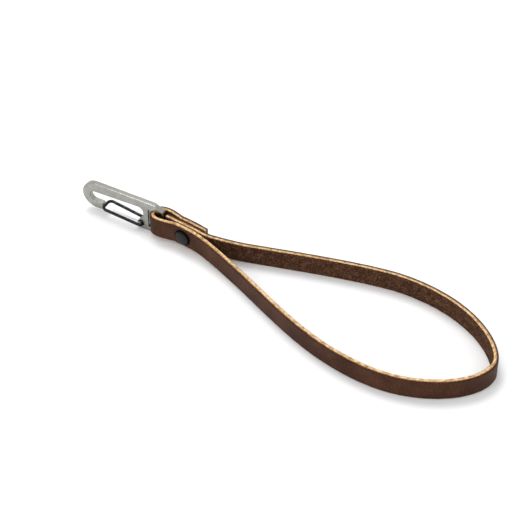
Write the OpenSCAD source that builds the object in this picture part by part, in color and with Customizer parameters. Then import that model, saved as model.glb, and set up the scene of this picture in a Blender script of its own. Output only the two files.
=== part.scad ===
// Clip-on leather wrist strap: a flat-plate wire-gate clip held in the riveted end of a strap loop.
//
// The strap stands on its edge and the clip's plate stands upright in the XZ plane. X runs from the
// clip's nose towards the loop, Y through the plate's thickness and Z up. The origin is on the
// surface the object rests on, straight below the upright bar that the strap turns about.

/* [Clip plate] */
// Thickness of the steel plate
plate_t = 3; // [2.5:0.1:3.2]
// Height of the plate at its rear end
clip_h = 18; // [18:0.5:20]
// Depth of the spine above the opening
spine_h = 4.5; // [3.5:0.1:4.8]
// Distance from the strap bar's axis to the front of the hook
hook_reach = 46.4; // [44:0.2:50]
// Height of the hook's underside above the resting surface
hook_rise = 2.3; // [1.5:0.1:2.6]
// Height of the opening at its round front end
hook_gap = 6; // [5:0.2:6.6]

/* [Strap slot] */
// Length of the upright bar that the strap is folded round
bar_l = 3.5; // [3:0.1:3.8]
// Distance from the bar's axis to the slot's front wall
slot_reach = 7; // [6.8:0.1:7.5]
// Height of the slot above the resting surface
slot_floor = 2.2; // [1.8:0.1:2.3]
// Height of the slot
slot_h = 11.6; // [11.4:0.1:11.8]

/* [Wire gate] */
// Diameter of the gate's spring wire
wire_d = 1.6; // [1.2:0.1:1.8]
// Distance from the gate's pivot to its end bar
gate_l = 22.7; // [22.4:0.1:22.8]
// Width of the gate between wire centres at the nose
gate_front_w = 7.5; // [6.8:0.1:8]
// Width of the gate between wire centres at the pivot
gate_rear_w = 6; // [5.6:0.1:6.4]
// Slope of the closed gate, rising towards the nose, in degrees
gate_slope = 6.6; // [6:0.1:7]
// Radial clearance of the wire ends in their bore
pivot_play = 0.06; // [0.03:0.01:0.1]

/* [Strap] */
// Width of the strap
strap_w = 11.2; // [10.5:0.1:11.2]
// Thickness of the leather
strap_t = 2.8; // [2.4:0.1:2.8]
// Height of the strap's lower edge where it passes through the slot
strap_lift = 2.4; // [2.3:0.1:2.5]
// Radius of the fold round the bar, at the middle of the leather
fold_r = 4.4; // [4.3:0.1:4.6]
// Length of the folded-back end beyond the rivet
tail_l = 9.5; // [8:0.5:10]

/* [Rivet] */
// Distance of the rivet from the strap bar's axis
rivet_reach = 16; // [15:0.5:17]
// Diameter of the rivet caps
cap_d = 9; // [7:0.5:9.5]
// Height of the rivet caps
cap_h = 1.5; // [1.4:0.1:2]
// Diameter of the rivet's tube
tube_d = 3; // [2.8:0.1:3.4]

/* [Hidden] */
$fn = 96;
through = 1;              // how far a cutting tool runs past the faces it opens

// Clip plate
front_r = (clip_h - hook_rise) / 2;
front_at = [front_r - hook_reach, hook_rise + front_r];
bore_front_at = [front_at[0] - 0.3, clip_h - spine_h - 0.9 - hook_gap / 2];
pivot_r = 2.9;            // radius of the boss round the gate's pivot
pivot_at = [-10.8, pivot_r];
wall_x = -10;             // rear wall of the opening
wall_corner_r = 3;
rear_chamfer = [5.5, 2.8];
foot_chamfer = 0.9;
slot_corner_r = 0.6;

// Nose: the end of the lower jaw, hollowed where the gate's end bar rests
gate_bar_at = pivot_at + gate_l * [-cos(gate_slope), sin(gate_slope)];
seat_r = wire_d / 2 + 0.25;
nose_x = gate_bar_at[0] - 1;
jaw_top = bore_front_at[1] - hook_gap / 2;
lip_at = [gate_bar_at[0] - 0.1, gate_bar_at[1] - 1.55];

// Gate
gate_front_bend = 2.2;
gate_rear_bend = 1.2;
wire_end_gap = 0.5;       // between the two wire ends inside the bore
bend_thinning = 0.02;
bend_overlap = 0.05;

// Strap: directions and places of the riveted stack
layer_gap = 0.05;
layer_pitch = strap_t + layer_gap;
stack_turn = -6;          // how far the stack turns from the X axis, in degrees
stack_dir = [cos(stack_turn), sin(stack_turn)];
stack_side = [-sin(stack_turn), cos(stack_turn)];
spread_dir = [cos(10), -sin(10)];  // direction in which the near leg leaves the rivet
rivet_at = [rivet_reach, -1];
near_layer_at = rivet_at - layer_pitch * stack_side;
far_layer_at = rivet_at + layer_pitch * stack_side;
flat_l = 5.2;             // the near and far layers stay flat this far to each side of the rivet
seat_l = 4.8;             // and are exactly straight under the rivet's caps, this far to each side
inner_end_l = 12.8;       // from the rivet back to the hidden end of the strap
leave_l = 10.5;           // from the rivet to where the far leg starts to curve
fold_start = 266;         // the fold runs clockwise, seen from above, between these angles
fold_end = 100;
fold_steps = 16;
fold_relief = 0.05;
lift_from = 15;           // the strap comes down to the surface between these X positions
lift_to = 50;

// Loop: the far side, the end and the near side, each with its direction scaled by its handles
far_side_at = [128, 20];
loop_end_at = [187.9, -12.5];
near_side_at = [140, -43.3];
leg_steps = 34;
end_steps = 22;
short_steps = 8;

// Rivet
stack_half = (3 * strap_t + 2 * layer_gap) / 2;
shell_t = 0.35;
rim_h = 0.6;              // straight height of a cap's rim
shell_rim_h = 0.5;        // and of the hollow inside it
crown_t = 0.35;
lip_w = 0.8;
lip_t = 0.2;
flange_t = 0.3;
flange_play = 0.05;
tube_play = 0.05;
tube_bore_d = tube_d - 0.8;
post_d = tube_bore_d - 0.1;
tube_l = 2 * stack_half - 0.4;
post_l = tube_l - 0.6;

// ---- Helper functions ----

function polar(r, a) = r * [cos(a), sin(a)];

// A point on the cubic curve that leaves p0 along v0 and arrives at p1 along v1
function cubic(p0, v0, p1, v1, t) =
    pow(1 - t, 3) * p0
    + 3 * pow(1 - t, 2) * t * (p0 + v0)
    + 3 * (1 - t) * pow(t, 2) * (p1 - v1)
    + pow(t, 3) * p1;

function cubic_run(p0, v0, p1, v1, steps) = [for (i = [0:steps - 1]) cubic(p0, v0, p1, v1, i / steps)];

function ease(t) = t <= 0 ? 0 : t >= 1 ? 1 : pow(t, 2) * (3 - 2 * t);

// Height of the strap's lower edge at a position along X
function strap_floor(x) = strap_lift * (1 - ease((x - lift_from) / (lift_to - lift_from)));

function unit(v) = v / norm(v);

// Direction of travel round the fold, clockwise seen from above
function fold_heading(a) = [sin(a), -cos(a)];

function heading(path, i) = unit(path[min(i + 1, len(path) - 1)] - path[max(i - 1, 0)]);

// ---- The strap's centre line, from its hidden end round the loop and the bar to its visible end ----

strap_path = concat(
    [rivet_at - inner_end_l * stack_dir],
    cubic_run(rivet_at + leave_l * stack_dir, 8 * stack_dir, far_side_at, [26, 0], leg_steps),
    cubic_run(far_side_at, [41, 0], loop_end_at, [0, -8], end_steps),
    cubic_run(loop_end_at, [0, -15], near_side_at, [-25, 0], end_steps),
    cubic_run(near_side_at, [-46, 0], near_layer_at + flat_l * stack_dir, -38 * spread_dir, leg_steps),
    [near_layer_at + flat_l * stack_dir, near_layer_at + seat_l * stack_dir, near_layer_at - seat_l * stack_dir],
    cubic_run(near_layer_at - flat_l * stack_dir, [-3, -0.3],
              polar(fold_r, fold_start), 4 * fold_heading(fold_start), short_steps),
    [for (i = [0:fold_steps - 1]) polar(fold_r, fold_start + (fold_end - fold_start) * i / fold_steps)],
    cubic_run(polar(fold_r, fold_end), 5 * fold_heading(fold_end),
              far_layer_at - flat_l * stack_dir, 4 * [cos(12), -sin(12)], short_steps),
    [far_layer_at - flat_l * stack_dir, far_layer_at - seat_l * stack_dir, far_layer_at + tail_l * stack_dir]
);

// ---- Sub-parts ----

module rounded_slot(low, high, r) {
    translate([low[0] + r, low[1]])
        square([high[0] - low[0] - 2 * r, high[1] - low[1]]);
    translate([low[0], low[1] + r])
        square([high[0] - low[0], high[1] - low[1] - 2 * r]);
    for (x = [low[0] + r, high[0] - r], z = [low[1] + r, high[1] - r])
        translate([x, z])
            circle(r);
}

// The plate's outside, with the hook's round front and the foot under the slot
module plate_outline() {
    translate(front_at)
        circle(front_r);
    polygon([
        [front_at[0], hook_rise],
        [pivot_at[0], hook_rise],
        [pivot_at[0], 0],
        [bar_l / 2 - foot_chamfer, 0],
        [bar_l / 2, foot_chamfer],
        [bar_l / 2, clip_h - rear_chamfer[1]],
        [bar_l / 2 - rear_chamfer[0], clip_h],
        [front_at[0], clip_h]
    ]);
}

// The opening that a ring hangs in, and the mouth that the gate closes
module hook_opening() {
    roof_z = clip_h - spine_h;
    translate(bore_front_at)
        circle(hook_gap / 2);
    translate([wall_x - wall_corner_r, roof_z - wall_corner_r])
        circle(wall_corner_r);
    polygon([
        [bore_front_at[0], jaw_top],
        [bore_front_at[0], jaw_top + hook_gap],
        [wall_x - wall_corner_r, roof_z],
        [wall_x, roof_z - wall_corner_r],
        [wall_x, pivot_at[1] + 2 * pivot_r],
        [pivot_at[0] - pivot_r, pivot_at[1]],
        [pivot_at[0] - pivot_r, -through],
        [nose_x - 0.6, -through],
        [nose_x - 0.6, hook_rise],
        lip_at,
        [nose_x, gate_bar_at[1]],
        [nose_x, jaw_top - 0.6],
        [nose_x - 0.7, jaw_top]
    ]);
}

module clip_body() {
    color([0.74, 0.73, 0.70])
        difference() {
            rotate([90, 0, 0])
                linear_extrude(plate_t, center = true)
                    difference() {
                        union() {
                            difference() {
                                plate_outline();
                                hook_opening();
                            }
                            translate(pivot_at)
                                circle(pivot_r);
                        }
                        rounded_slot([-slot_reach, slot_floor], [-bar_l / 2, slot_floor + slot_h], slot_corner_r);
                        translate(gate_bar_at)
                            circle(seat_r);
                    }
            translate([pivot_at[0], 0, pivot_at[1]])
                rotate([90, 0, 0])
                    cylinder(h = plate_t + 2 * through, r = wire_d / 2 + pivot_play, center = true);
        }
}

// Round wire through a list of points in the XY plane, bent to the given radius at each inner point.
// The wire is a hair thinner in its bends, and each straight run reaches a little way into them.
module bent_wire(points, radii, d) {
    $fn = 32;
    last = len(points) - 1;
    // Length that the bend at a point takes from each of its two straight runs
    function turn(i) = acos(unit(points[i] - points[i - 1]) * unit(points[i + 1] - points[i]));
    function is_bend(i) = i > 0 && i < last;
    function trim(i) = is_bend(i) ? radii[i] * tan(turn(i) / 2) - bend_overlap : 0;
    for (i = [0:last - 1]) {
        run = unit(points[i + 1] - points[i]);
        from = points[i] + trim(i) * run;
        length = norm(points[i + 1] - points[i]) - trim(i) - trim(i + 1);
        translate([from[0], from[1], 0])
            rotate([0, 90, atan2(run[1], run[0])])
                cylinder(h = length, d = d);
    }
    for (i = [1:last - 1]) {
        way_in = unit(points[i] - points[i - 1]);
        way_out = unit(points[i + 1] - points[i]);
        side = cross(way_in, way_out) > 0 ? 1 : -1;
        start = points[i] - radii[i] * tan(turn(i) / 2) * way_in;
        centre = start + side * radii[i] * [-way_in[1], way_in[0]];
        start_angle = atan2(start[1] - centre[1], start[0] - centre[0]);
        translate([centre[0], centre[1], 0])
            rotate([0, 0, side > 0 ? start_angle : start_angle - turn(i)])
                rotate_extrude(angle = turn(i))
                    translate([radii[i], 0])
                        circle(d = d - bend_thinning);
    }
}

module wire_gate() {
    color([0.05, 0.05, 0.06])
        translate([pivot_at[0], 0, pivot_at[1]])
            rotate([0, gate_slope, 0])
                bent_wire([
                        [0, -wire_end_gap / 2],
                        [0, -gate_rear_w / 2],
                        [-gate_l, -gate_front_w / 2],
                        [-gate_l, gate_front_w / 2],
                        [0, gate_rear_w / 2],
                        [0, wire_end_gap / 2]
                    ],
                    [0, gate_rear_bend, gate_front_bend, gate_front_bend, gate_rear_bend, 0],
                    wire_d);
}

// A strap of rectangular section swept along its centre line, one ring of four corners per point
module strap_sweep(path) {
    count = len(path);
    corners = [
        for (i = [0:count - 1])
            let (
                along = heading(path, i),
                half = strap_t / 2 * [-along[1], along[0]],
                low = strap_floor(path[i][0]),
                right = path[i] - half,
                left = path[i] + half
            )
            each [
                [right[0], right[1], low],
                [left[0], left[1], low],
                [left[0], left[1], low + strap_w],
                [right[0], right[1], low + strap_w]
            ]
    ];
    sides = [
        for (i = [0:count - 2], k = [0:3])
            let (a = 4 * i + k, b = 4 * i + (k + 1) % 4)
            each [[a, b, a + 4], [b, b + 4, a + 4]]
    ];
    ends = [[3, 2, 1, 0], [for (k = [0:3]) 4 * (count - 1) + k]];
    polyhedron(corners, concat(sides, ends), convexity = 10);
}

// Places its children on the rivet's axis, with local Z pointing out through the near face
module on_rivet(side) {
    translate([rivet_at[0], rivet_at[1], strap_lift + strap_w / 2])
        rotate([side * 90, 0, stack_turn])
            children();
}

module strap() {
    color([0.30, 0.19, 0.15])
        difference() {
            strap_sweep(strap_path);
            // The inside of the fold, which turns round the bar
            cylinder(h = clip_h, r = fold_r - strap_t / 2 + fold_relief);
            on_rivet(1)
                cylinder(h = 2 * stack_half + 2 * through, d = tube_d + 2 * tube_play, center = true);
        }
}

// Half section of a domed disc: a straight rim with a spherical crown
module dome_section(r, rim, crown) {
    crown_r = (pow(r, 2) + pow(crown, 2)) / (2 * crown);
    intersection() {
        square([r, rim + crown]);
        translate([0, rim + crown - crown_r])
            circle(crown_r);
    }
}

// The outer shell of a rivet head, with its rim turned in under the flange that it holds
module cap_shell() {
    color([0.08, 0.08, 0.09])
        translate([0, 0, stack_half])
            rotate_extrude() {
                difference() {
                    dome_section(cap_d / 2, rim_h, cap_h - rim_h);
                    dome_section(cap_d / 2 - shell_t, shell_rim_h, cap_h - crown_t - shell_rim_h);
                }
                translate([cap_d / 2 - lip_w, 0])
                    square([lip_w, lip_t]);
            }
}

module flange() {
    translate([0, 0, stack_half + lip_t])
        cylinder(h = flange_t, r = cap_d / 2 - shell_t - flange_play);
}

module rivet_front_cap() {
    on_rivet(1)
        cap_shell();
}

module rivet_back_cap() {
    on_rivet(-1)
        cap_shell();
}

// The tube that goes through the leather, with its flange inside the front cap
module rivet_socket() {
    color([0.55, 0.53, 0.48])
        on_rivet(1)
            difference() {
                union() {
                    flange();
                    translate([0, 0, stack_half + lip_t - tube_l])
                        cylinder(h = tube_l + flange_t, d = tube_d);
                }
                translate([0, 0, stack_half + lip_t - tube_l - through])
                    cylinder(h = tube_l + through - flange_t, d = tube_bore_d);
            }
}

// The post that is hammered into the tube, with its flange inside the back cap
module rivet_post() {
    color([0.55, 0.53, 0.48])
        on_rivet(-1) {
            flange();
            translate([0, 0, stack_half + lip_t - post_l])
                cylinder(h = post_l + flange_t, d = post_d);
        }
}

clip_body();
wire_gate();
strap();
rivet_front_cap();
rivet_socket();
rivet_back_cap();
rivet_post();
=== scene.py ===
import math

import bmesh
import bpy
import numpy as np
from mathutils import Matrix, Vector, noise
from mathutils.geometry import tessellate_polygon


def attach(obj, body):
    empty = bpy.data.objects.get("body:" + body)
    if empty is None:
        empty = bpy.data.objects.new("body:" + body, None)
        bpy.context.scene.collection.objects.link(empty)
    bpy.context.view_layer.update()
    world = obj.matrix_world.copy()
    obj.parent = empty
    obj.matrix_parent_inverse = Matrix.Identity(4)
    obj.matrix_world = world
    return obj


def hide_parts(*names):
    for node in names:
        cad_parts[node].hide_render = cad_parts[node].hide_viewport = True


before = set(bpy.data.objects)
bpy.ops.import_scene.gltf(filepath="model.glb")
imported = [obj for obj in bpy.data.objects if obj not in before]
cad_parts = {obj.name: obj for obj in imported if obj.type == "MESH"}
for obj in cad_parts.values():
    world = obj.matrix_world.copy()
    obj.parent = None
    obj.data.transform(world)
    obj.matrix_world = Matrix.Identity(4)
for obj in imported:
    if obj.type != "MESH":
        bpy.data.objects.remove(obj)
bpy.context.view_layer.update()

# Sizes are in millimetres, as in the CAD source, and pieces are scaled to metres as they are made.
MM = 0.001

# ---- Sizes repeated from the CAD source ----

PLATE_T = 3.0
PIVOT_AT = np.array([-10.8, 2.9])
WIRE_D = 1.6
GATE_L = 22.7
GATE_FRONT_W = 7.5
GATE_REAR_W = 6.0
GATE_SLOPE = math.radians(6.6)
GATE_FRONT_BEND = 2.2
GATE_REAR_BEND = 1.2
WIRE_END_GAP = 0.5

STRAP_W = 11.2
STRAP_T = 2.8
STRAP_LIFT = 2.4
LIFT_FROM = 15.0
LIFT_TO = 50.0
FOLD_R = 4.4
FOLD_START = 266.0
FOLD_END = 100.0
LAYER_PITCH = 2.85
STACK_TURN = math.radians(-6.0)
STACK_DIR = np.array([math.cos(STACK_TURN), math.sin(STACK_TURN)])
STACK_SIDE = np.array([-math.sin(STACK_TURN), math.cos(STACK_TURN)])
RIVET_AT = np.array([16.0, -1.0])
RIVET_Z = STRAP_LIFT + STRAP_W / 2
STACK_HALF = 4.25
NEAR_LAYER_AT = RIVET_AT - LAYER_PITCH * STACK_SIDE
FAR_LAYER_AT = RIVET_AT + LAYER_PITCH * STACK_SIDE
FLAT_L = 5.2
TAIL_L = 9.5
INNER_END_L = 12.8
LEAVE_L = 10.5
SPREAD_TURN = math.radians(-10.0)
SPREAD_DIR = np.array([math.cos(SPREAD_TURN), math.sin(SPREAD_TURN)])
FAR_SIDE_AT = np.array([128.0, 20.0])
LOOP_END_AT = np.array([187.9, -12.5])
NEAR_SIDE_AT = np.array([140.0, -43.3])

CAP_R = 4.5
CAP_H = 1.5
SHELL_R = 4.15
SHELL_RIM_H = 0.5
SHELL_H = 1.15
LIP_R = 3.7
LIP_T = 0.2


# ---- Meshes ----


def make_piece(name, body, replaced, points, faces, material):
    """A mesh from points in millimetres, riding on a CAD body in place of a CAD node."""
    mesh = bpy.data.meshes.new(name)
    mesh.from_pydata([tuple(p) for p in np.asarray(points) * MM], [], faces)
    mesh.polygons.foreach_set("use_smooth", [True] * len(mesh.polygons))
    mesh.materials.append(material)
    mesh.update()
    piece = bpy.data.objects.new(name, mesh)
    bpy.context.scene.collection.objects.link(piece)
    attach(piece, body)
    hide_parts(replaced)
    return piece


def store(mesh, name, values):
    """Keeps one number per vertex, for the material to read."""
    attribute = mesh.attributes.new(name, "FLOAT", "POINT")
    attribute.data.foreach_set("value", np.asarray(values, np.float32))


def band(a, b, count, flip=False):
    """Quads between two rings of count points, whose first points are a and b."""
    quads = []
    for k in range(count):
        n = (k + 1) % count
        quad = (a + k, a + n, b + n, b + k)
        quads.append(tuple(reversed(quad)) if flip else quad)
    return quads


def ring_faces(rings, count, first=0):
    """Quads between neighbouring rings of count points, listed one ring after another."""
    faces = []
    for i in range(rings - 1):
        faces += band(first + i * count, first + (i + 1) * count, count)
    return faces


def arc(centre, r, start, end, steps):
    """Points on a circular arc, with both ends."""
    angles = np.radians(np.linspace(start, end, steps + 1))
    return np.array(centre) + r * np.stack([np.cos(angles), np.sin(angles)], 1)


def ripple(points, size, seed):
    """Smooth noise from -1 to 1 at each point, with lumps of the given size."""
    return np.array([noise.noise(Vector(p) / size + Vector((seed, seed, seed))) for p in points])


def bell(x, width):
    """A smooth hump, 1 at x = 0 and close to 0 beyond twice the width."""
    return np.exp(-((x / width) ** 2))


# ---- Materials ----


def colour(red, green, blue):
    """A linear colour from 0-255 screen values."""
    return tuple((v / 255) ** 2.2 for v in (red, green, blue)) + (1.0,)


class Shader:
    """One material's node tree. Each method adds a node and returns its output."""

    def __init__(self, name):
        self.material = bpy.data.materials.new(name)
        self.material.use_nodes = True
        self.tree = self.material.node_tree
        self.surface = self.tree.nodes["Principled BSDF"]

    def feed(self, socket, value):
        """Links another node's output to a socket, or sets the socket to a plain value."""
        if isinstance(value, bpy.types.NodeSocket):
            self.tree.links.new(value, socket)
        else:
            socket.default_value = value

    def set(self, **values):
        """Feeds the surface's own sockets, by their names with _ for a space."""
        for name, value in values.items():
            self.feed(self.surface.inputs[name.replace("_", " ")], value)

    def attribute(self, name):
        """A number that the mesh stores at each vertex."""
        node = self.tree.nodes.new("ShaderNodeAttribute")
        node.attribute_name = name
        return node.outputs["Fac"]

    def place(self, stretch=(1, 1, 1)):
        """The object's own coordinates in millimetres, divided by stretch."""
        source = self.tree.nodes.new("ShaderNodeTexCoord")
        mapping = self.tree.nodes.new("ShaderNodeMapping")
        mapping.inputs["Scale"].default_value = [1 / (MM * s) for s in stretch]
        self.feed(mapping.inputs["Vector"], source.outputs["Object"])
        return mapping.outputs["Vector"]

    def vector(self, x, y, z):
        node = self.tree.nodes.new("ShaderNodeCombineXYZ")
        for socket, value in zip(node.inputs, (x, y, z)):
            self.feed(socket, value)
        return node.outputs["Vector"]

    def scaled(self, vector, factors):
        node = self.tree.nodes.new("ShaderNodeVectorMath")
        node.operation = "MULTIPLY"
        self.feed(node.inputs[0], vector)
        node.inputs[1].default_value = factors
        return node.outputs["Vector"]

    def noise(self, vector, size, detail=3.0, rough=0.55):
        node = self.tree.nodes.new("ShaderNodeTexNoise")
        self.feed(node.inputs["Vector"], vector)
        node.inputs["Scale"].default_value = 1 / size
        node.inputs["Detail"].default_value = detail
        node.inputs["Roughness"].default_value = rough
        return node.outputs["Fac"]

    def cells(self, vector, size):
        node = self.tree.nodes.new("ShaderNodeTexVoronoi")
        self.feed(node.inputs["Vector"], vector)
        node.inputs["Scale"].default_value = 1 / size
        return node.outputs["Distance"]

    def math(self, operation, a, b=0.0):
        node = self.tree.nodes.new("ShaderNodeMath")
        node.operation = operation
        self.feed(node.inputs[0], a)
        self.feed(node.inputs[1], b)
        return node.outputs["Value"]

    def weighted(self, a, b, share):
        """Adds two values, with the given share of a and the rest of b."""
        return self.math("ADD", self.math("MULTIPLY", a, share), self.math("MULTIPLY", b, 1 - share))

    def span(self, value, low, high, to_low=0.0, to_high=1.0):
        """Eases from to_low to to_high as value goes from low to high."""
        node = self.tree.nodes.new("ShaderNodeMapRange")
        node.interpolation_type = "SMOOTHSTEP"
        self.feed(node.inputs["Value"], value)
        limits = {"From Min": low, "From Max": high, "To Min": to_low, "To Max": to_high}
        for name, limit in limits.items():
            self.feed(node.inputs[name], limit)
        return node.outputs["Result"]

    def ramp(self, value, stops):
        node = self.tree.nodes.new("ShaderNodeValToRGB")
        self.feed(node.inputs["Fac"], value)
        elements = node.color_ramp.elements
        while len(elements) < len(stops):
            elements.new(0.5)
        for element, (position, shade) in zip(elements, stops):
            element.position = position
            element.color = shade
        return node.outputs["Color"]

    def mix(self, factor, a, b, kind="RGBA"):
        """Goes from colour a to colour b as factor goes from 0 to 1."""
        node = self.tree.nodes.new("ShaderNodeMix")
        node.data_type = kind
        for name, value in (("Factor", factor), ("A", a), ("B", b)):
            self.feed(node.inputs[name], value)
        return node.outputs["Result"]

    def blend(self, factor, a, b):
        """As mix, for plain numbers."""
        return self.mix(factor, a, b, "FLOAT")

    def bump(self, height, depth, strength=1.0, normal=None):
        """A bump whose full height is depth millimetres."""
        node = self.tree.nodes.new("ShaderNodeBump")
        node.inputs["Strength"].default_value = strength
        node.inputs["Distance"].default_value = depth * MM
        self.feed(node.inputs["Height"], height)
        if normal is not None:
            self.feed(node.inputs["Normal"], normal)
        return node.outputs["Normal"]


def steel():
    """Stainless plate, brushed along its length and then tumbled."""
    s = Shader("steel")
    brushed = s.noise(s.place((9, 1, 1)), 0.12, 3)
    worn = s.noise(s.place(), 2.6, 4)
    pits = s.noise(s.place(), 0.5, 2)
    tone = s.weighted(brushed, worn, 0.35)
    s.set(
        Base_Color=s.ramp(tone, [(0.3, colour(138, 137, 133)), (0.7, colour(162, 161, 156))]),
        Metallic=1.0,
        Roughness=s.span(tone, 0.3, 0.7, 0.3, 0.2),
    )
    fine = s.bump(brushed, 0.006)
    s.set(Normal=s.bump(pits, 0.008, 0.6, fine))
    return s.material


def black_oxide():
    """Spring wire with a smooth black finish, rubbed a little grey."""
    s = Shader("black_oxide")
    drawn = s.noise(s.place((6, 1, 1)), 0.15, 3)
    rubbed = s.noise(s.place(), 1.8, 4)
    s.set(
        Base_Color=s.ramp(rubbed, [(0.45, colour(26, 28, 31)), (0.75, colour(54, 58, 64))]),
        Metallic=0.7,
        Roughness=s.span(rubbed, 0.3, 0.7, 0.42, 0.28),
        Normal=s.bump(drawn, 0.008),
    )
    return s.material


def black_cap():
    """Satin black plating on the rivet's caps, with fine scuffs, and painted shade that darkens each cap's
    rim.
    """
    s = Shader("black_cap")
    cloud = s.noise(s.place(), 3.0, 3)
    scuffs = s.noise(s.place((1, 1, 5)), 0.16, 4, 0.7)
    s.set(
        Base_Color=s.ramp(cloud, [(0.35, colour(10, 11, 12)), (0.7, colour(17, 18, 20))]),
        Roughness=s.span(scuffs, 0.35, 0.7, 0.22, 0.36),
        # Painted shade: the cap reflects less towards its rim, which draws a dark ring round its edge
        Specular_IOR_Level=s.span(s.attribute("rim"), 0.7, 0.94, 0.22, 0.01),
        Normal=s.bump(scuffs, 0.006),
    )
    return s.material


def plated_brass():
    """Pale plating of the rivet's inner parts."""
    s = Shader("plated_brass")
    drawn = s.noise(s.place((1, 8, 1)), 0.2, 3)
    s.set(
        Base_Color=s.ramp(drawn, [(0.3, colour(176, 160, 122)), (0.7, colour(206, 192, 156))]),
        Metallic=1.0,
        Roughness=s.span(drawn, 0.3, 0.7, 0.28, 0.42),
        Normal=s.bump(drawn, 0.01),
    )
    return s.material


def leather():
    """Oiled brown leather: smooth grain outside, napped flesh inside and a raw tan core at the cut edges."""
    s = Shader("leather")
    depth = s.attribute("depth")
    at = s.vector(s.attribute("along"), s.attribute("up"), depth)

    # Grain side
    cloud = s.noise(at, 14.0, 4)
    mottle = s.noise(s.scaled(at, (1.6, 0.5, 1)), 2.2, 5, 0.62)
    pores = s.cells(at, 0.42)
    speckle = s.noise(at, 0.55, 3, 0.7)
    tone = s.weighted(s.weighted(cloud, mottle, 0.6), speckle, 0.42)
    grain_colour = s.ramp(tone, [
        (0.41, colour(46, 26, 17)),
        (0.5, colour(66, 41, 28)),
        (0.59, colour(87, 58, 42)),
    ])
    creases = s.noise(s.scaled(at, (1.0, 0.12, 1)), 0.9, 3)

    # Raw edge: pale fibres lying along the strap, with darker clumps where the dye has run in
    fibres = s.noise(s.scaled(at, (0.35, 1, 1)), 0.32, 4, 0.7)
    clumps = s.noise(s.scaled(at, (0.5, 1, 1)), 1.1, 4, 0.65)
    edge_tone = s.weighted(fibres, clumps, 0.4)
    edge_colour = s.ramp(edge_tone, [
        (0.36, colour(100, 66, 38)),
        (0.43, colour(166, 126, 82)),
        (0.51, colour(208, 172, 126)),
        (0.6, colour(236, 206, 164)),
    ])

    # Flesh side: dark speckled nap
    nap = s.noise(at, 0.6, 5, 0.75)
    patches = s.noise(at, 3.2, 4)
    flesh_tone = s.weighted(nap, patches, 0.8)
    flesh_colour = s.ramp(flesh_tone, [
        (0.38, colour(36, 21, 14)),
        (0.5, colour(68, 45, 33)),
        (0.6, colour(114, 82, 62)),
    ])

    # The dye reaches a little way in from each face, unevenly
    ragged = s.noise(at, 0.7, 4, 0.6)
    fresh_reach = s.span(ragged, 0.25, 0.75, 0.9, 1.35)
    rubbed_reach = s.span(ragged, 0.25, 0.75, 0.35, 0.75)
    grain_reach = s.blend(s.attribute("rubbed"), fresh_reach, rubbed_reach)
    past_dye = s.math("SUBTRACT", depth, grain_reach)
    to_core = s.span(past_dye, -0.06, 0.06)
    dyed = s.span(past_dye, 0.0, 0.9, 0.75, 0.0)
    core_colour = s.mix(dyed, edge_colour, colour(98, 64, 38))
    flesh_reach = s.span(ragged, 0.3, 0.7, STRAP_T - 0.4, STRAP_T - 0.02)
    to_flesh = s.span(s.math("SUBTRACT", depth, flesh_reach), -0.08, 0.08)

    shade = s.mix(to_flesh, s.mix(to_core, grain_colour, core_colour), flesh_colour)
    rough = s.blend(to_core, s.span(mottle, 0.3, 0.7, 0.44, 0.58), 0.9)
    relief = s.bump(s.blend(to_core, s.math("MULTIPLY", creases, 0.35), fibres), 0.22)
    s.set(
        Base_Color=shade,
        Roughness=rough,
        Specular_IOR_Level=0.1,
        Normal=s.bump(s.blend(to_core, s.math("MULTIPLY", pores, 0.25), nap), 0.12, 1.0, relief),
    )
    return s.material


def paper():
    """Matt white sweep under the object."""
    s = Shader("paper")
    mottle = s.noise(s.place(), 40.0, 2)
    s.set(
        Base_Color=s.ramp(mottle, [(0.3, (0.86, 0.86, 0.86, 1)), (0.7, (0.88, 0.88, 0.88, 1))]),
        Roughness=0.9,
        Specular_IOR_Level=0.1,
    )
    return s.material


# ---- The clip's plate ----

# Radius of the plate's broken edges, and the steps round it
CLIP_BREAK = 0.4
BREAK_STEPS = 4
# Least cosine taken at a corner, so that a sharp one isn't drawn out into a spike
MITRE_LIMIT = 0.35


def face_loops(node, side_y):
    """Outlines of a node's flat face at Y = side_y, as loops of (x, z) with the metal on their left."""
    mesh = node.data
    keys = [(round(v.co.x / MM, 4), round(v.co.z / MM, 4)) for v in mesh.vertices]
    flat = [abs(v.co.y / MM - side_y) < 1e-3 for v in mesh.vertices]
    edges = {}
    mesh.calc_loop_triangles()
    for triangle in mesh.loop_triangles:
        if not all(flat[v] for v in triangle.vertices):
            continue
        a, b, c = [np.array(keys[v]) for v in triangle.vertices]
        corners = [keys[v] for v in triangle.vertices]
        if np.cross(b - a, c - a) < 0:
            corners.reverse()
        for k in range(3):
            edges[corners[k], corners[(k + 1) % 3]] = True
    border = {a: b for a, b in edges if (b, a) not in edges}
    loops = []
    while border:
        start, at = border.popitem()
        loop = [start]
        while at != start:
            loop.append(at)
            at = border.pop(at)
        loops.append(np.array(loop))
    return loops


def inset(loop, distance):
    """The loop moved to its left by distance, mitred at its corners."""
    before = loop - np.roll(loop, 1, 0)
    after = np.roll(loop, -1, 0) - loop
    normals = []
    for step in (before, after):
        step = step / np.linalg.norm(step, axis=1)[:, None]
        normals.append(np.stack([-step[:, 1], step[:, 0]], 1))
    mitre = normals[0] + normals[1]
    mitre /= np.maximum((mitre * normals[0]).sum(1), MITRE_LIMIT)[:, None]
    return loop + distance * mitre


def break_levels():
    """How far the plate's outline is set in at each level of its thickness: (inset, y)."""
    levels = []
    for t in np.radians(np.linspace(0, 90, BREAK_STEPS + 1)):
        levels.append((CLIP_BREAK * (1 - math.cos(t)), PLATE_T / 2 - CLIP_BREAK * (1 - math.sin(t))))
    return [(amount, -y) for amount, y in reversed(levels)] + levels


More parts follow.
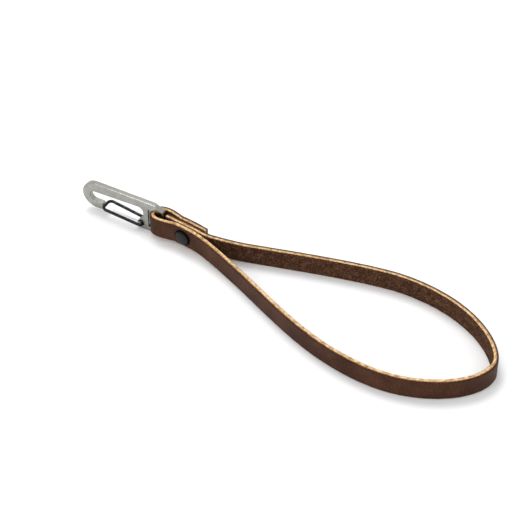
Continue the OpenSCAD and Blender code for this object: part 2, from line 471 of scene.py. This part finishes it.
def clip_plate(material):
    """The plate with its edges broken all round, built on the CAD plate's own outlines."""
    loops = face_loops(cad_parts["clip_body"], -PLATE_T / 2)
    levels = break_levels()
    points = []
    faces = []
    outlines = []
    for loop in loops:
        first = len(points)
        for amount, y in levels:
            points += [(x, y, z) for x, z in inset(loop, amount)]
        faces += ring_faces(len(levels), len(loop), first)
        near_rim = range(first, first + len(loop))
        far_rim = range(len(points) - len(loop), len(points))
        outlines.append((near_rim, far_rim))
    for rims in zip(*outlines):
        index = [k for rim in rims for k in rim]
        flat = [[Vector((points[k][0], points[k][2], 0)) for k in rim] for rim in rims]
        faces += [tuple(index[k] for k in triangle) for triangle in tessellate_polygon(flat)]
    # The flat faces and the broken edges have to be wound the same way
    piece = make_piece("clip_plate", "clip", "clip_body", points, faces, material)
    solid = bmesh.new()
    solid.from_mesh(piece.data)
    bmesh.ops.recalc_face_normals(solid, faces=solid.faces)
    solid.to_mesh(piece.data)
    solid.free()
    weighted = piece.modifiers.new("weighted", "WEIGHTED_NORMAL")
    weighted.weight = 100
    weighted.keep_sharp = True
    return piece


# ---- The wire gate ----

WIRE_SIDES = 24
# Each end of the wire is rounded over: (distance from the end, share of the wire's radius)
WIRE_END = [(0, 0.55), (0.1, 0.9), (0.25, 1)]


def gate_line():
    """The wire's centre line in its own plane, from one end in the pivot bore to the other."""
    corners = np.array([
        [0, -WIRE_END_GAP / 2],
        [0, -GATE_REAR_W / 2],
        [-GATE_L, -GATE_FRONT_W / 2],
        [-GATE_L, GATE_FRONT_W / 2],
        [0, GATE_REAR_W / 2],
        [0, WIRE_END_GAP / 2],
    ])
    radii = [0, GATE_REAR_BEND, GATE_FRONT_BEND, GATE_FRONT_BEND, GATE_REAR_BEND, 0]
    line = [corners[0]]
    for i in range(1, 5):
        way_in = corners[i] - corners[i - 1]
        way_out = corners[i + 1] - corners[i]
        way_in = way_in / np.linalg.norm(way_in)
        way_out = way_out / np.linalg.norm(way_out)
        turn = math.acos(float(way_in @ way_out))
        bend_from = corners[i] - radii[i] * math.tan(turn / 2) * way_in
        centre = bend_from + radii[i] * np.array([way_in[1], -way_in[0]])
        spoke = bend_from - centre
        start = math.atan2(spoke[1], spoke[0])
        for t in np.linspace(0, 1, 13):
            a = start - t * turn
            line.append(centre + radii[i] * np.array([math.cos(a), math.sin(a)]))
    line.append(corners[-1])
    return np.array(line)


def wire_gate(material):
    """The gate's bent wire, closed, with its two ends in the plate's bore."""
    line = gate_line()
    steps = np.diff(line, axis=0)
    headings = np.vstack([steps[:1], steps[:-1] + steps[1:], steps[-1:]])
    headings /= np.linalg.norm(headings, axis=1)[:, None]
    r = WIRE_D / 2
    angles = np.linspace(0, 2 * math.pi, WIRE_SIDES, endpoint=False)
    spots = [(line[0] + gap * headings[0], headings[0], share * r) for gap, share in WIRE_END]
    spots += [(p, h, r) for p, h in zip(line[1:-1], headings[1:-1])]
    spots += [(line[-1] - gap * headings[-1], headings[-1], share * r) for gap, share in reversed(WIRE_END)]
    points = []
    for at, heading, radius in spots:
        side = np.array([-heading[1], heading[0]])
        for a in angles:
            across = at + radius * math.cos(a) * side
            up = radius * math.sin(a)
            x = across[0] * math.cos(GATE_SLOPE) + up * math.sin(GATE_SLOPE)
            z = -across[0] * math.sin(GATE_SLOPE) + up * math.cos(GATE_SLOPE)
            points.append((PIVOT_AT[0] + x, across[1], PIVOT_AT[1] + z))
    faces = ring_faces(len(spots), WIRE_SIDES)
    faces.append(tuple(reversed(range(WIRE_SIDES))))
    faces.append(tuple(range(len(points) - WIRE_SIDES, len(points))))
    return make_piece("gate_wire", "gate", "wire_gate", points, faces, material)


# ---- The strap ----

RING_STEP = 0.45
GRAIN_CORNER_R = 0.7
FLESH_CORNER_R = 0.45
# Spacing of points across the grain side, the upper edge, the flesh side and the lower edge
SECTION_SPACINGS = [0.7, 0.24, 0.42, 0.24]

# How unevenly each face is set in: the cut edges, which also stand out a little, the flesh side in small
# and larger lumps, the grain side, and the corners of the flesh side
CUT_RELIEF = 0.05
CUT_PROUD = 0.03
NAP_FINE = 0.04
NAP_COARSE = 0.05
GRAIN_RELIEF = 0.03
CORNER_RAG = 0.45

# The leather swells in a ring round each cap, and is pressed in under it
SWELL_R = 6.0
SWELL_WIDTH = 1.5
SWELL_H = 0.2
PRESSED = 0.05

# The rings that round off a cut end: (size, distance beyond the last full ring)
END_RINGS = [(0.93, 0.12), (0.6, 0.16), (0.25, 0.14)]
# Share of an end's narrowing that its rings also lose in height
END_SQUAT = 0.35

# The raw edge is rubbed paler on the near leg. Along the strap from its hidden end, the wear grows from
# RUBBED_FROM to RUBBED_FULL. It fades out over the last RUBBED_FADE before RUBBED_SHORT_OF_END, which is
# measured back from the visible end.
RUBBED_FROM = 150
RUBBED_FULL = 220
RUBBED_FADE = 8
RUBBED_SHORT_OF_END = 29


def polar(r, degrees):
    """The point at a radius and an angle."""
    return r * np.array([math.cos(math.radians(degrees)), math.sin(math.radians(degrees))])


def fold_heading(degrees):
    """Direction of travel round the fold, clockwise seen from above."""
    return polar(1, degrees - 90)


def cubic_run(p0, v0, p1, v1, steps=160):
    """Points on the cubic curve that leaves p0 along v0 and arrives at p1 along v1."""
    t = np.linspace(0, 1, steps, endpoint=False)[:, None]
    v0, v1 = np.array(v0), np.array(v1)
    return (1 - t) ** 3 * p0 + 3 * (1 - t) ** 2 * t * (p0 + v0) + 3 * (1 - t) * t**2 * (p1 - v1) + t**3 * p1


def strap_line():
    """The strap's centre line, as in the CAD source, in even steps."""
    near_seat = NEAR_LAYER_AT - FLAT_L * STACK_DIR
    far_seat = FAR_LAYER_AT - FLAT_L * STACK_DIR
    down = polar(1, -12)
    runs = [
        [RIVET_AT - INNER_END_L * STACK_DIR],
        cubic_run(RIVET_AT + LEAVE_L * STACK_DIR, 8 * STACK_DIR, FAR_SIDE_AT, [26, 0]),
        cubic_run(FAR_SIDE_AT, [41, 0], LOOP_END_AT, [0, -8]),
        cubic_run(LOOP_END_AT, [0, -15], NEAR_SIDE_AT, [-25, 0]),
        cubic_run(NEAR_SIDE_AT, [-46, 0], NEAR_LAYER_AT + FLAT_L * STACK_DIR, -38 * SPREAD_DIR),
        [NEAR_LAYER_AT + FLAT_L * STACK_DIR],
        cubic_run(near_seat, [-3, -0.3], polar(FOLD_R, FOLD_START), 4 * fold_heading(FOLD_START)),
        arc((0, 0), FOLD_R, FOLD_START, FOLD_END, 80)[:-1],
        cubic_run(polar(FOLD_R, FOLD_END), 5 * fold_heading(FOLD_END), far_seat, 4 * down),
        [far_seat, FAR_LAYER_AT + TAIL_L * STACK_DIR],
    ]
    line = np.vstack(runs)
    travel = np.concatenate([[0], np.cumsum(np.linalg.norm(np.diff(line, axis=0), axis=1))])
    even = np.linspace(0, travel[-1], int(travel[-1] / RING_STEP) + 1)
    line = np.stack([np.interp(even, travel, line[:, k]) for k in (0, 1)], 1)
    return line, even


def strap_section():
    """Outline of the strap across its width: (towards the grain side, up) and its outward normals."""
    half = STRAP_T / 2
    g, f = GRAIN_CORNER_R, FLESH_CORNER_R
    corners = [
        ((half - g, g), g, -90),
        ((half - g, STRAP_W - g), g, 0),
        ((f - half, STRAP_W - f), f, 90),
        ((f - half, f), f, 180),
    ]
    points = []
    normals = []
    for i, (centre, r, start) in enumerate(corners):
        bend = arc(centre, r, start, start + 90, 4)
        points += list(bend)
        normals += list((bend - np.array(centre)) / r)
        next_centre, next_r, next_start = corners[(i + 1) % 4]
        run = next_centre + polar(next_r, next_start) - bend[-1]
        count = max(2, round(np.linalg.norm(run) / SECTION_SPACINGS[i]))
        for k in range(1, count):
            points.append(bend[-1] + run * k / count)
            normals.append(normals[-1])
    return np.array(points), np.array(normals)


def set_in(at, normal):
    """How far the leather's surface lies inside the plain section at each point."""
    cut = np.abs(normal[:, 1])
    flesh = np.maximum(-normal[:, 0], 0)
    grain = np.maximum(normal[:, 0], 0)
    lumps = 1 + ripple(at, size=0.9, seed=3.7)
    waves = 1 + ripple(at, size=3.4, seed=8.2)
    swells = 1 + ripple(at, size=17.0, seed=5.5)
    rags = 1 + ripple(at, size=1.0, seed=1.9)
    amount = cut * (CUT_RELIEF * lumps + CUT_RELIEF * waves - CUT_PROUD)
    amount += flesh * (NAP_FINE * lumps + NAP_COARSE * waves)
    amount += grain * GRAIN_RELIEF * swells
    amount += np.sqrt(cut * flesh) * CORNER_RAG * rags
    return amount


def swell_round_caps(place, z, grain):
    """Moves the stack's outer faces out in a ring round the rivet's caps, and in under them."""
    across = (place - RIVET_AT) @ STACK_SIDE
    reach = np.hypot((place - RIVET_AT) @ STACK_DIR, z - RIVET_Z)
    # Only the stack's two outer faces lie in this band
    outer = (np.abs(across) > STACK_HALF - 0.4) & (np.abs(across) < STACK_HALF + 0.2)
    swell = SWELL_H * bell(reach - SWELL_R, SWELL_WIDTH) - PRESSED * (reach < CAP_R)
    swell = np.where(outer, grain * swell, 0)
    return place + (np.sign(across) * swell)[:, None] * STACK_SIDE


def cut_end(rim, rim_at, heading, outward):
    """Rings that round off a cut end beyond its rim, each with its places in the leather."""
    middle = rim.mean(0)
    rings = []
    for size, beyond in END_RINGS:
        ring = middle + (rim - middle) * np.array([size, size, 1 - (1 - size) * END_SQUAT])
        ring[:, :2] += outward * beyond * heading
        ring_at = rim_at.copy()
        ring_at[:, 0] += outward * (beyond + 1 - size)
        ring_at[:, 2] = STRAP_T / 2 + (rim_at[:, 2] - STRAP_T / 2) * size
        rings.append((ring, ring_at))
    return rings


def strap(material):
    """The strap, swept along its line, with rounded grain edges, rough cut edges and nap inside."""
    line, travel = strap_line()
    section, normals = strap_section()
    rings = len(line)
    count = len(section)
    headings = np.gradient(line, axis=0)
    headings /= np.linalg.norm(headings, axis=1)[:, None]
    sides = np.stack([-headings[:, 1], headings[:, 0]], 1)
    t = np.clip((line[:, 0] - LIFT_FROM) / (LIFT_TO - LIFT_FROM), 0, 1)
    floor = STRAP_LIFT * (1 - t * t * (3 - 2 * t))

    # Each point's place in the leather: along it, up its width and in from the grain side
    side = np.tile(section[:, 0], rings)
    up = np.tile(section[:, 1], rings)
    at = np.stack([np.repeat(travel, count), up, STRAP_T / 2 - side], 1)

    normal = np.tile(normals, (rings, 1))
    inward = set_in(at, normal)
    side = side - inward * normal[:, 0]
    up = up - inward * normal[:, 1]
    place = np.repeat(line, count, 0) + side[:, None] * np.repeat(sides, count, 0)
    z = np.repeat(floor, count) + up
    place = swell_round_caps(place, z, np.maximum(normal[:, 0], 0))
    points = np.column_stack([place, z])
    faces = ring_faces(rings, count)

    for first, outward in ((0, -1), ((rings - 1) * count, 1)):
        rim = slice(first, first + count)
        previous = first
        for ring, ring_at in cut_end(points[rim], at[rim], headings[first // count], outward):
            start = len(points)
            points = np.vstack([points, ring])
            at = np.vstack([at, ring_at])
            faces += band(previous, start, count, flip=outward < 0)
            previous = start
        last = tuple(range(previous, previous + count))
        faces.append(last if outward > 0 else tuple(reversed(last)))

    piece = make_piece("strap_leather", "strap_body", "strap", points, faces, material)
    store(piece.data, "depth", at[:, 2])
    store(piece.data, "along", at[:, 0])
    store(piece.data, "up", at[:, 1])
    rubbed_to = travel[-1] - RUBBED_SHORT_OF_END
    stretch = [RUBBED_FROM, RUBBED_FULL, rubbed_to - RUBBED_FADE, rubbed_to]
    store(piece.data, "rubbed", np.interp(at[:, 0], stretch, [0, 1, 1, 0]))
    return piece


# ---- The rivet ----

CAP_SIDES = 72
# Height at which a cap's dome starts, and the power of its outline: 1 is an ellipse, less is fuller
DOME_FROM = 0.32
DOME_POWER = 0.9
# The rolled edge under the dome: (distance in from the cap's radius, height)
ROLLED_EDGE = [(0, 0.2), (0.05, 0.08), (0.16, 0.01)]


def cap_profile():
    """Half section of a cap's shell: (radius, height), from its top round the lip into its hollow."""
    profile = []
    for a in np.radians(np.linspace(90, 0, 22)):
        profile.append((CAP_R * math.cos(a) ** DOME_POWER, DOME_FROM + (CAP_H - DOME_FROM) * math.sin(a)))
    profile[0] = (0, CAP_H)
    profile += [(CAP_R - set_back, height) for set_back, height in ROLLED_EDGE]
    profile += [(LIP_R, 0), (LIP_R, LIP_T), (SHELL_R, LIP_T)]
    for a in np.radians(np.linspace(0, 90, 12)):
        profile.append((SHELL_R * math.cos(a), SHELL_RIM_H + (SHELL_H - SHELL_RIM_H) * math.sin(a)))
    profile[-1] = (0, SHELL_H)
    return profile


def rivet_cap(name, node, side, material):
    """One domed cap. side is -1 for the near face and 1 for the far face."""
    out = side * STACK_SIDE
    seat = RIVET_AT + STACK_HALF * out
    angles = np.linspace(0, 2 * math.pi, CAP_SIDES, endpoint=False)
    points = []
    rim = []
    index = []
    for r, h in cap_profile():
        spots = angles if r > 0 else angles[:1]
        index.append([len(points) + k % len(spots) for k in range(CAP_SIDES)])
        for a in spots:
            flat = seat + h * out + r * math.cos(a) * STACK_DIR
            points.append((flat[0], flat[1], RIVET_Z + r * math.sin(a)))
            rim.append(r / CAP_R)
    faces = []
    for a, b in zip(index, index[1:]):
        for k in range(CAP_SIDES):
            n = (k + 1) % CAP_SIDES
            quad = (a[k], b[k], b[n], a[n])
            # At the centre two corners are the same point, which leaves a triangle
            faces.append(tuple(dict.fromkeys(quad if side < 0 else reversed(quad))))
    piece = make_piece(name, "strap_body", node, points, faces, material)
    # Each point's share of the cap's radius, which the material uses to paint shade on the rim
    store(piece.data, "rim", rim)
    return piece


def rivet_inside(material):
    """The rivet's inner pieces keep their CAD shape and take a new material."""
    for node in ("rivet_socket", "rivet_post"):
        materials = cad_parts[node].data.materials
        materials.clear()
        materials.append(material)


# ---- Floor, light and camera ----

# The camera looks at this point, in metres, from this direction and distance
AIM = Vector((0.0553, 0.00557, 0))
VIEW_AZIMUTH = math.radians(28.9)
VIEW_ELEVATION = math.radians(43.0)
VIEW_DISTANCE = 0.88
# Focal length and sensor width in millimetres
LENS = 120.69
SENSOR_W = 36
# Both lights face this point, in metres
LIGHT_AIM = Vector((0.07, -0.01, 0))
FLOOR_REACH = 4.0
FLOOR_DROP = 0.02 * MM


def stage_floor():
    """A wide floor, a hair under the object so that no two faces share a plane."""
    mesh = bpy.data.meshes.new("floor")
    corners = [(FLOOR_REACH * x, FLOOR_REACH * y, 0) for x, y in ((-1, -1), (1, -1), (1, 1), (-1, 1))]
    mesh.from_pydata(corners, [], [(0, 1, 2, 3)])
    mesh.materials.append(paper())
    floor = bpy.data.objects.new("floor", mesh)
    floor.location.z = -FLOOR_DROP
    bpy.context.scene.collection.objects.link(floor)


def softbox(name, place, size, power):
    """A round area light that faces LIGHT_AIM."""
    light = bpy.data.lights.new(name, "AREA")
    light.shape = "DISK"
    light.size = size
    light.energy = power
    lamp = bpy.data.objects.new(name, light)
    lamp.location = place
    lamp.rotation_euler = (LIGHT_AIM - place).to_track_quat("-Z", "Y").to_euler()
    lamp.visible_camera = False
    bpy.context.scene.collection.objects.link(lamp)


def set_light():
    """A soft key from above and behind, a small fill from the left, and an even white surround."""
    world = bpy.data.worlds.new("studio")
    world.use_nodes = True
    world.node_tree.nodes["Background"].inputs["Color"].default_value = (1, 1, 1, 1)
    world.node_tree.nodes["Background"].inputs["Strength"].default_value = 1.0
    bpy.context.scene.world = world
    toward = Vector((math.sin(VIEW_AZIMUTH), -math.cos(VIEW_AZIMUTH), 0))
    right = Vector((math.cos(VIEW_AZIMUTH), math.sin(VIEW_AZIMUTH), 0))
    key = LIGHT_AIM - 0.48 * toward - 0.16 * right + Vector((0, 0, 1.1))
    softbox("key", key, size=0.55, power=6.5)
    fill = LIGHT_AIM + 0.5 * toward - 0.7 * right + Vector((0, 0, 0.85))
    softbox("fill", fill, size=0.3, power=1.6)


def set_camera():
    """The camera, which looks down at the object from its front right."""
    camera = bpy.data.cameras.new("camera")
    camera.lens = LENS
    camera.sensor_width = SENSOR_W
    camera.clip_start = 0.01
    back = Vector((
        math.sin(VIEW_AZIMUTH) * math.cos(VIEW_ELEVATION),
        -math.cos(VIEW_AZIMUTH) * math.cos(VIEW_ELEVATION),
        math.sin(VIEW_ELEVATION),
    ))
    eye = bpy.data.objects.new("camera", camera)
    eye.location = AIM + VIEW_DISTANCE * back
    eye.rotation_euler = (-back).to_track_quat("-Z", "Y").to_euler()
    bpy.context.scene.collection.objects.link(eye)
    bpy.context.scene.camera = eye


def set_look():
    """Plain colours, with no film-like tone curve."""
    view = bpy.context.scene.view_settings
    view.view_transform = "Standard"
    view.look = "None"


clip_plate(steel())
wire_gate(black_oxide())
strap(leather())
cap_material = black_cap()
rivet_cap("cap_near", "rivet_front_cap", -1, cap_material)
rivet_cap("cap_far", "rivet_back_cap", 1, cap_material)
rivet_inside(plated_brass())
stage_floor()
set_light()
set_camera()
set_look()
